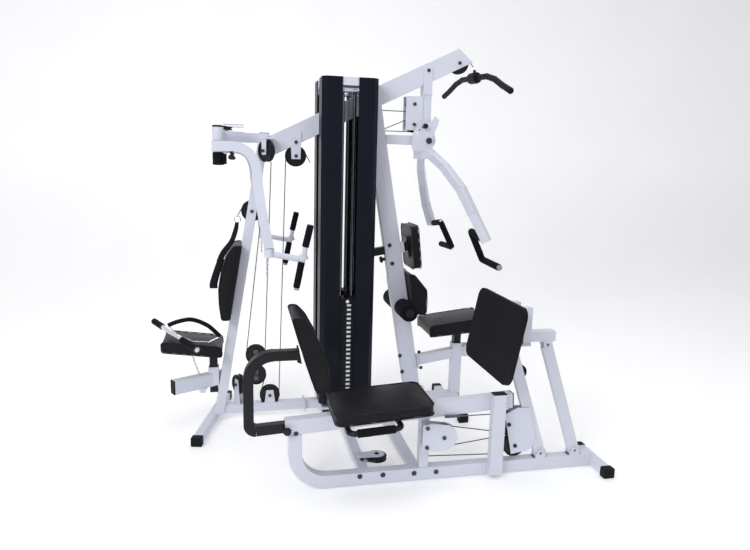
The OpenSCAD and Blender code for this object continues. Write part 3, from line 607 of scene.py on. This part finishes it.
def hold_roller(sign, side):
    piece = sleeve("foam_hold_" + side,
                   [mm(HOLD_X, sign * 58.5, HOLD_Z), mm(HOLD_X, sign * 227.5, HOLD_Z)],
                   0.050, 0.0128, "hold_rollers", edge=0.011, segments=48, wobble=0.0007)
    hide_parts("hold_rollers")
    lathe("foam_hold_cap_" + side, mm(HOLD_X, sign * 227, HOLD_Z), (0, sign, 0), HOLD_CAP,
          "plastic_black", "hold_rollers", segments=40)


def developer_roller(sign, side):
    ends = [mm(DEVELOPER_X, sign * y, DEVELOPER_Z) for y in (32.5, 229.5)]
    piece = sleeve("foam_dev_" + side, ends, 0.045, 0.0112, "developer_rollers",
                   edge=0.010, segments=48, wobble=0.0007)
    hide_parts("developer_rollers")


def press_grip(sign, side):
    """Foam round three legs of the press handle, set back from the bar ends."""
    a, b, c, d = (mm(650, sign * 458, 1090), mm(648, sign * 262, 1116),
                  mm(726, sign * 254, 958), mm(729, sign * 486, 950))
    start = a + (b - a).normalized() * 0.044
    end = d - (d - c).normalized() * 0.008
    piece = sleeve("foam_press_" + side, fillet([start, b, c, end], 0.014),
                   0.0185, 0.0131, "press_arm")
    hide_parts("press_grips")


def pec_foam(sign, side):
    """Two grips on a fly arm and the sleeve on its upright pivot."""
    arm = "pec_arm_" + side
    for i, ends in enumerate(PEC_GRIPS):
        piece = sleeve(f"foam_pec_{side}_{i}", [mm(x, sign * PEC_Y, z) for x, z in ends],
                       0.0175, 0.0122, arm)
        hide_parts("pec_grips_" + side)
    pivot = [mm(PEC_PIVOT_X, sign * PEC_PIVOT_Y, z) for z in (1442, 1502)]
    piece = sleeve("foam_pec_pivot_" + side, pivot, 0.0265, 0.0142, arm, segments=40)
    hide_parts("pec_grips_" + side)


def lp_handle(sign, side):
    """Thin foam on a bar tilted about y."""
    ends = [mm(-140, -840, 324.5)
            + mm(x * math.cos(LP_TILT), sign * 165, -x * math.sin(LP_TILT)) for x in (33, 199)]
    sleeve("foam_lp_handle_" + side, ends, 0.0182, 0.0171, "frame", edge=0.0008)


for sign, side in SIDES:
    hold_roller(sign, side)
    developer_roller(sign, side)
    press_grip(sign, side)
    pec_foam(sign, side)
    lp_handle(sign, side)


def row_bar_grips():
    """Foam at both ends of the row bar, each overhanging its end by 1 mm."""
    start, end = mm(-1078, 201, 541), mm(-807, -327, 520)
    along = (end - start).normalized()
    for name, path in (("foam_row_a", [start - along * 0.001, start + along * 0.131]),
                       ("foam_row_b", [end - along * 0.191, end + along * 0.001])):
        sleeve(name, path, 0.0175, 0.0126, "row_bar", edge=0.004)


row_bar_grips()

# Pale end plugs of the press and fly grips.
PRESS_PLUG = [(0, 13.0), (7.5, 13.6), (9, 14.4), (10.5, 14.2), (11.4, 12), (11.7, 6)]
PEC_PLUG = [(0, 12.0), (3, 12.2), (4, 14), (6, 13.6), (7, 11), (7.3, 5)]
for sign, side in SIDES:
    lathe("plug_press_" + side, mm(729, sign * 478.2, 950), (0, sign, -0.03), PRESS_PLUG,
          "plug", "press_arm")
    for end, x, z, up in (("top", -246, 1155, 1), ("low", -314, 839, -1)):
        lathe(f"plug_pec_{end}_{side}", mm(x, sign * PEC_Y, z), (up * 0.21, 0, up * 0.98),
              PEC_PLUG, "plug", "pec_arm_" + side)

# ---------------------------------------------------------------- webbing strap
# Cross-section, as fractions of (half width, half thickness).
STRAP_SECTION = (
    (-1, -0.35), (-0.9, -1), (-0.55, -1.0), (0, -0.92), (0.55, -1.0), (0.9, -1), (1, -0.35),
    (1, 0.35), (0.9, 1), (0.55, 1.0), (0, 0.92), (-0.55, 1.0), (-0.9, 1), (-1, 0.35),
)


def strap(name, stations, thickness, finish):
    """Flat strap in the y = 0 plane; stations are (x, z, half width) in mm."""
    centres = catmull([mm(x, 0, z) for x, z, _ in stations])
    halves = catmull([Vector((half, 0, 0)) for _, _, half in stations])
    last = len(centres) - 1
    verts = []
    for i, centre in enumerate(centres):
        tangent = (centres[min(i + 1, last)] - centres[max(i - 1, 0)]).normalized()
        across = Vector((tangent.z, 0, -tangent.x))
        half = halves[i].x * 0.001
        for wide, thick in STRAP_SECTION:
            verts.append(centre + across * (wide * half)
                         + Vector((0, thick * (thickness * 0.0005), 0)))
    faces = capped_faces(len(centres), len(STRAP_SECTION))
    return mesh_piece(name, verts, faces, finish, "frame")


webbing = strap("ab_webbing", [(-602, 1133, 10), (-612, 1098, 9), (-634, 1030, 12),
                               (-678, 967, 15), (-700, 915, 17)], 4.0, "webbing")
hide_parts("ab_strap")
strap("ab_webbing_fold", [(-598, 1133, 5), (-604, 1090, 6), (-628, 1024, 7),
                          (-662, 975, 7)], 7.0, "webbing")
strap("ab_cuff", [(-690, 935, 17), (-712, 868, 19), (-732, 800, 21), (-733, 770, 21)],
      13.0, "pad_vinyl")
ring_angles = [2 * math.pi * i / 32 for i in range(33)]
ring_path = [mm(-600 + 17 * math.cos(t), 0, 1150 + 17 * math.sin(t)) for t in ring_angles]
ring = hoop("ab_ring", ring_path, 0.0027, "chrome", "frame", segments=12, step=0.004)
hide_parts("ab_strap")


# ---------------------------------------------------------------- chains and loose handle
def chain(name, start, end, body):
    """Oval links, each turned a quarter from the last."""
    count = max(2, int((end - start).length / 0.0125))
    pitch = (end - start) / count
    axis = pitch.normalized()
    side = square_to(axis, Y_AXIS if abs(axis.y) < 0.9 else X_AXIS)
    over = axis.cross(side)
    half_length = pitch.length * 0.78
    for i in range(count):
        centre = start + pitch * (i + 0.5)
        across = over if i % 2 else side
        path = [centre + axis * (half_length * math.cos(t)) + across * (0.0042 * math.sin(t))
                for t in [2 * math.pi * j / 24 for j in range(25)]]
        hoop(f"{name}_{i:02d}", path, 0.0016, "chrome", body, segments=8, step=0.003)


for sign, side in SIDES:
    chain("chain_" + side, mm(-459, sign * PEC_Y, 995), mm(-459, sign * PEC_Y, 911),
          "pec_arm_" + side)
chain("chain_seat_a", mm(-851, -60, 405), mm(-815, -60, 292), "frame")
chain("chain_seat_b", mm(-814, -60, 290), mm(-801, -48, 238), "frame")

# Arched handle resting on the fly seat, with the thin bow under it: (x, z).
HANDLE_Y = -98
HANDLE_ARC = ((-969, 592), (-915, 612), (-845, 620), (-765, 585), (-700, 522))
HANDLE_BOW = ((-966, 590), (-925, 540), (-840, 498), (-760, 492), (-702, 520))
rod("arc_handle", catmull([mm(x, HANDLE_Y, z) for x, z in HANDLE_ARC], 10), 0.0115, "foam",
    "pec_seat", edge=0.006, segments=28, wobble=0.0003)
rod("arc_handle_bow", [mm(x, HANDLE_Y, z) for x, z in HANDLE_BOW], 0.0035, "chrome",
    "pec_seat", edge=0.001, segments=16)

# ---------------------------------------------------------------- bolts and knobs
RAIL_FACE_Y = -865.5
POST_FACE_Y = -25.5
# Name, y of the face, head radius, (x, z) of each bolt.
BOLT_ROWS = (
    ("rail", RAIL_FACE_Y, 8.5, ((-65, 51), (44, 49), (194, 44), (302, 42))),
    ("upright", POST_FACE_Y, 8.5, ((250, 1008), (269, 902), (333, 345), (350, 245),
                                   (-544, 1161), (-535, 1042))),
    ("beam", POST_FACE_Y, 7.5, ((451, 363), (467, 265))),
)
for row, y, radius, places in BOLT_ROWS:
    for i, (x, z) in enumerate(places):
        hex_bolt(f"bolt_{row}_{i}", mm(x, y, z), TOWARDS_NEAR, radius)


def knob(name, at, axis, body):
    """Fluted knob on a stepped stem."""
    r, stem = 19, 12
    neck = [(0.05, 9.5), (1.5, 10), (stem - 4, 10), (stem - 2, 7.5), (stem + 1, 7.5)]
    head = [(stem, 8), (stem + 0.8, r * 0.72), (stem + 3, r * 0.96), (stem + 6, r),
            (stem + 13, r), (stem + 16, r * 0.93), (stem + 17.6, r * 0.72),
            (stem + 18, r * 0.3)]
    lathe(name + "_stem", at, axis, neck, "plastic_black", body, segments=28)
    lathe(name + "_head", at, axis, head, "plastic_black", body, segments=64,
          flute=0.13, flutes=8)


knob("knob_back", mm(-397, RAIL_FACE_Y, 303), TOWARDS_NEAR, "lp_back")
hex_bolt("bolt_back", mm(-357, RAIL_FACE_Y, 282), TOWARDS_NEAR, 7.5)
knob("knob_chest", mm(229.5, 0, 925), (-0.985, 0, -0.17), "frame")

PEC_BALL = [(0, 6), (1, 9), (9, 9), (10, 5.5), (16, 5.5), (17, 8), (20, 12.2), (25, 15.2),
            (30, 15.6), (35, 13.6), (38.5, 9), (40, 3)]
PEC_CAP = [(0.1, 25.5), (1.5, 26.6), (5, 26.6), (8, 24.5), (9.8, 18), (10.4, 8)]
CROSS_PULLEY = [(0, 14), (0.2, 38), (1.2, 39.5), (3, 39.5), (6.5, 33.5), (9.5, 33.5),
                (13, 39.5), (14.8, 39.5), (15.8, 38), (16, 14), (19, 13), (20, 9), (20.2, 4)]
for sign, side in SIDES:
    arm = "pec_arm_" + side
    lathe("pec_ball_" + side, mm(-622, sign * PEC_Y, 1507.5), (0, 0, -1), PEC_BALL,
          "plastic_black", arm, segments=36)
    lathe("pec_cap_" + side, mm(PEC_PIVOT_X, sign * PEC_PIVOT_Y, 1618.3), Z_AXIS, PEC_CAP,
          "plastic_black", arm, segments=40)
    lathe("cross_pulley_" + side, mm(-655, sign * 238, 1611), Z_AXIS, CROSS_PULLEY,
          "plastic_black", "frame", segments=48)

# ---------------------------------------------------------------- floor pulley
PULLEY_X, PULLEY_Y = 48, -708
SPACER_X = -24
LOWER_TOP, COVER_TOP = 49.4, 78.0
PULLEY_WHEEL = [(0, 12), (0.2, 47), (1.4, 49), (4, 49), (9, 41.5), (13, 41.5), (18, 49),
                (21, 49), (22.2, 47), (22.4, 12)]
PULLEY_SPACER = [(0, 9), (1, 9.5), (24, 9.5), (25, 9)]


def cover_plate(name, radius, bottom, top):
    """Chamfered plate with round ends, the -x end at 0.8 of the radius."""
    chamfer, steps = 0.6, 16
    outline = []
    for x, r, turn in ((52, radius, -90), (SPACER_X, radius * 0.8, 90)):
        for i in range(steps + 1):
            angle = math.radians(turn + 180 * i / steps)
            outline.append(Vector((x + r * math.cos(angle), PULLEY_Y + r * math.sin(angle))))
    count = len(outline)
    centre = sum(outline, Vector((0, 0))) / count
    verts = []
    for z, inset in ((bottom, chamfer), (bottom + chamfer, 0), (top - chamfer, 0),
                     (top, chamfer)):
        for point in outline:
            out = point - centre
            place = centre + out * (1 - inset / max(1, out.length))
            verts.append(mm(place.x, place.y, z))
    mesh_piece(name, verts, capped_faces(4, count), "frame_white", "frame", smooth=False)


cover_plate("floor_pulley_lower", 30, 46.2, LOWER_TOP)
cover_plate("floor_pulley_cover", 34, 74.5, COVER_TOP)
lathe("floor_pulley_wheel", mm(PULLEY_X, PULLEY_Y, 50.6), Z_AXIS, PULLEY_WHEEL,
      "plastic_black", "frame", segments=56)
hex_bolt("floor_pulley_bolt", mm(PULLEY_X, PULLEY_Y, COVER_TOP + 0.1), Z_AXIS, 8)
lathe("floor_pulley_spacer", mm(SPACER_X, PULLEY_Y, LOWER_TOP), Z_AXIS, PULLEY_SPACER,
      "bolt_dark", "frame", segments=24)


# ---------------------------------------------------------------- weight stack
def plate_chips():
    """A pale chip on the near face of each weight plate, up to the top of the stack."""
    low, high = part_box("weight_plates")
    w, h, cut = 11.5, 6.2, 1.0  # half width, half height, cut corner
    outline = ((-w + cut, -h), (w - cut, -h), (w, -h + cut), (w, h - cut),
               (w - cut, h), (-w + cut, h), (-w, h - cut), (-w, -h + cut))
    for i in range(40):
        z = 196.5 + 25.4 * i + 12  # first plate, plate pitch, chip above plate
        if z > high.z * 1000 - 6:
            break
        verts = []
        for y, inset in ((0.0, 0), (-0.5, 0), (-0.8, 0.5)):
            verts += [mm(-3 + across * (1 - inset / w), low.y * 1000 - 0.05 + y,
                         z + up * (1 - inset / h)) for across, up in outline]
        mesh_piece(f"plate_chip_{i:02d}", verts, capped_faces(3, 8), "chip", "frame",
                   smooth=False)


plate_chips()
# Painted shade: the guide rods get a darkened copy of the chrome for the dim inside of the
# weight tower.
NODES["guide_rods"].material_slots[0].material = chrome(
    "m_guide_rods_painted_shade", dark=(0.13, 0.135, 0.15), light=(0.20, 0.205, 0.22))


# ---------------------------------------------------------------- stage, light, camera
def place(name, data):
    item = bpy.data.objects.new(name, data)
    bpy.context.collection.objects.link(item)
    return item


def stage():
    """White floor that curves up into a back wall."""
    half_width, front, back, height, r = 9.0, -7.0, 4.2, 6.0, 1.6
    angles = [i * math.pi / 24 for i in range(13)]
    curve = [(back - r + r * math.sin(a), r - r * math.cos(a)) for a in angles]
    profile = [(front, 0), *curve, (back, height)]
    mesh = bpy.data.meshes.new("floor")
    bm = bmesh.new()
    left, right = [[bm.verts.new((x, y, z - 0.0005)) for y, z in profile]
                   for x in (-half_width, half_width)]
    for i in range(len(profile) - 1):
        bm.faces.new((left[i], right[i], right[i + 1], left[i + 1]))
    bm.normal_update()
    bm.to_mesh(mesh)
    bm.free()
    for polygon in mesh.polygons:
        polygon.use_smooth = True
    floor = place("studio_floor", mesh)
    finish = Finish("m_floor")
    clouds = finish.noise(scale=2.0, detail=3)
    finish.surface({
        "Base Color": finish.ramp(clouds, (0.3, (0.94, 0.94, 0.95)), (0.7, (0.97, 0.97, 0.975))),
        "Roughness": 0.55, "Emission Color": (1, 1, 1, 1), "Emission Strength": 0.20})
    mesh.materials.append(finish.material)


def area(name, at, target, size, energy):
    light = bpy.data.lights.new(name, "AREA")
    light.shape = "RECTANGLE"
    light.size, light.size_y = size
    light.energy = energy
    lamp = place(name, light)
    lamp.location = at
    lamp.rotation_euler = (Vector(target) - Vector(at)).to_track_quat("-Z", "Y").to_euler()


def camera():
    yaw, pitch, roll = (math.radians(a) for a in (-12.530578, -10.238284, 1.463785))
    ahead = Vector((-math.sin(yaw) * math.cos(pitch), math.cos(yaw) * math.cos(pitch),
                    math.sin(pitch)))
    level = Vector((math.cos(yaw), math.sin(yaw), 0))
    upright = level.cross(ahead)
    right = level * math.cos(roll) + upright * math.sin(roll)
    up = -level * math.sin(roll) + upright * math.cos(roll)
    lens = bpy.data.cameras.new("cam")
    lens.sensor_width = 36
    lens.lens = 29.506128
    lens.clip_end = 100
    item = place("cam", lens)
    pose = Matrix.Identity(4)
    for i in range(3):
        pose[i][0], pose[i][1], pose[i][2] = right[i], up[i], -ahead[i]
    pose.translation = Vector((-0.5870983519692351, -3.4271338226576, 1.465224851892353))
    item.matrix_world = pose
    bpy.context.scene.camera = item


stage()
world = bpy.data.worlds.new("w")
bpy.context.scene.world = world
world.use_nodes = True
background = world.node_tree.nodes["Background"]
background.inputs["Color"].default_value = (0.96, 0.97, 1, 1)
background.inputs["Strength"].default_value = 0.40
area("key", at=(-3.2, -3.8, 3.6), target=(0, -0.3, 0.9), size=(2.4, 2.0), energy=125)
area("fill", at=(3.6, -3.0, 2.6), target=(0.2, -0.3, 0.9), size=(2.6, 2.6), energy=26)
area("top", at=(0, -0.2, 4.6), target=(0, -0.3, 0), size=(3.6, 3.2), energy=62)
camera()
bpy.context.scene.view_settings.view_transform = "Standard"
bpy.context.scene.view_settings.exposure = 0.06
